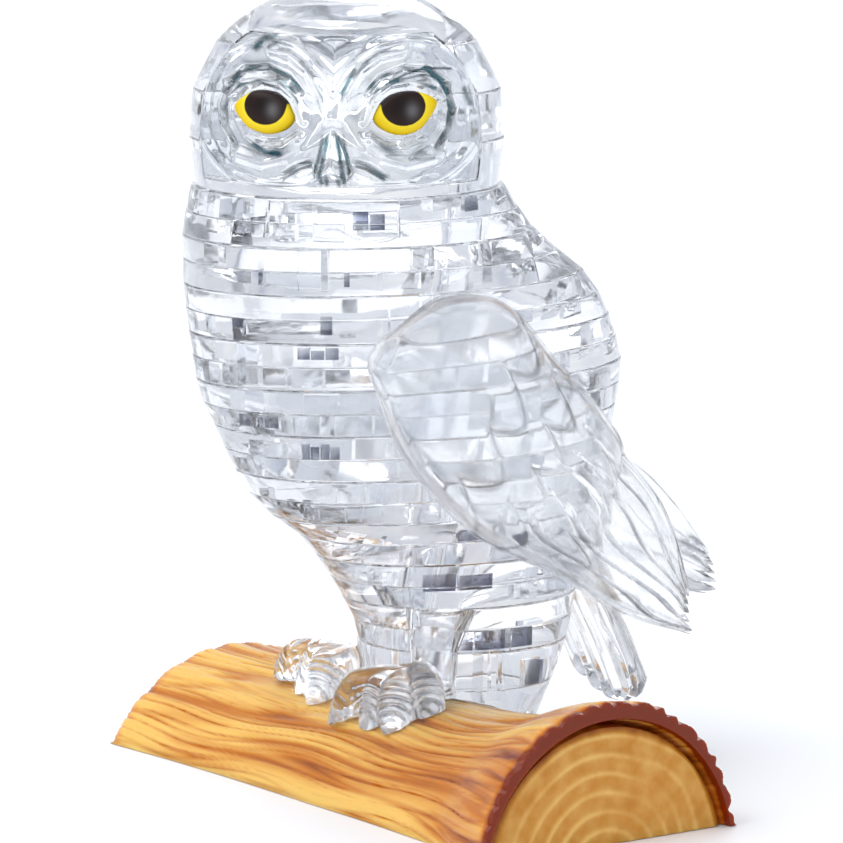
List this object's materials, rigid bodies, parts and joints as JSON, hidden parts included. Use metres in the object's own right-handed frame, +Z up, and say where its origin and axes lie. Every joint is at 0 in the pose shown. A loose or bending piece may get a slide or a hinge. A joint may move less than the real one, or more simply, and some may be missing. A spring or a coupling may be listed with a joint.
{
  "type": "crystal owl figurine",
  "caption": "Clear layered puzzle figurine of a perched owl on an amber half log, held by a spindle between a lift-off crown and a quarter-turn key.",
  "frame": {"origin": "centre of the log's flat underside", "axes": "+Z up, +X along the log towards its taller end, -Y the way the owl's chest faces"},
  "size_m": [0.079, 0.077, 0.095],
  "materials": {
    "clear": "polished clear plastic",
    "amber_bark": "amber clear plastic with moulded bark",
    "amber_end": "amber clear plastic with moulded rings",
    "eye": "printed, glossy"
  },
  "bodies": {
    "figurine": {"log_bark": "amber_bark", "log_floor": "amber_bark", "log_end_left": "amber_end", "log_end_right": "amber_end", "layer_01_right": "clear", "layer_01_left": "clear", "layer_02_front": "clear", "layer_02_back": "clear", "layer_03_right": "clear", "layer_03_left": "clear", "layer_04_front": "clear", "layer_04_back": "clear", "layer_05_right": "clear", "layer_05_left": "clear", "layer_06_front": "clear", "layer_06_back": "clear", "layer_07_right": "clear", "layer_07_left": "clear", "layer_08_front": "clear", "layer_08_back": "clear", "layer_09_right": "clear", "layer_09_left": "clear", "layer_10_front": "clear", "layer_10_back": "clear", "layer_11_right": "clear", "layer_11_left": "clear", "head_lower": "clear", "head_middle": "clear", "head_upper": "clear", "face_plate": "clear", "wing_left": "clear", "wing_right": "clear", "tail": "clear", "foot_left": "clear", "foot_right": "clear", "spindle": "clear", "eye_left": "eye", "eye_right": "eye"},
    "crown": {"crown": "clear"},
    "lock_key": {"lock_key": "clear"}
  },
  "joints": [
    {"name": "crown_lift", "type": "slide", "parent": "figurine", "child": "crown", "axis": [0, 0, 1], "range_m": [0, 0.012]},
    {"name": "key_turn", "type": "hinge", "parent": "figurine", "child": "lock_key", "pos_m": [-0.003, 0.0036, 0.0006], "axis": [0, 0, 1], "range_deg": [0, 90]}
  ]
}
